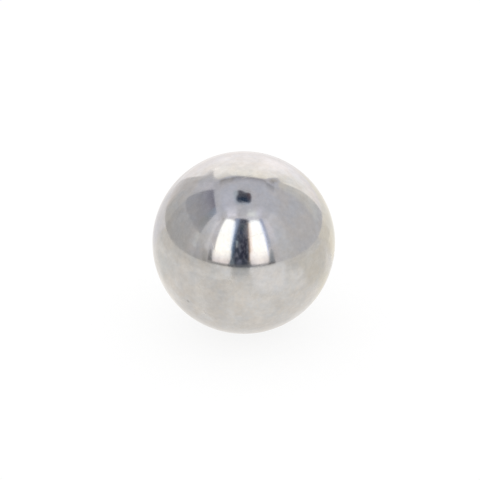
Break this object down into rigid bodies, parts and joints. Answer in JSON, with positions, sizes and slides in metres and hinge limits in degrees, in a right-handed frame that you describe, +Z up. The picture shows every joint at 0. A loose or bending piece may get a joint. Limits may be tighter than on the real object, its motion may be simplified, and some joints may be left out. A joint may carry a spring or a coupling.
{
  "type": "steel ball",
  "caption": "Solid polished steel ball, plain all round, that rolls, rests in a cup or groove, or is a detent, weight or check ball.",
  "frame": {"origin": "the ball's centre", "axes": "+Z up, away from the seat the ball sits in; X and Y are level and any turn about the centre is the same ball"},
  "size_m": [0.0126, 0.0126, 0.0126],
  "materials": {
    "polished_steel": "polished"
  },
  "bodies": {
    "root": {"ball": "polished_steel"}
  },
  "joints": []
}
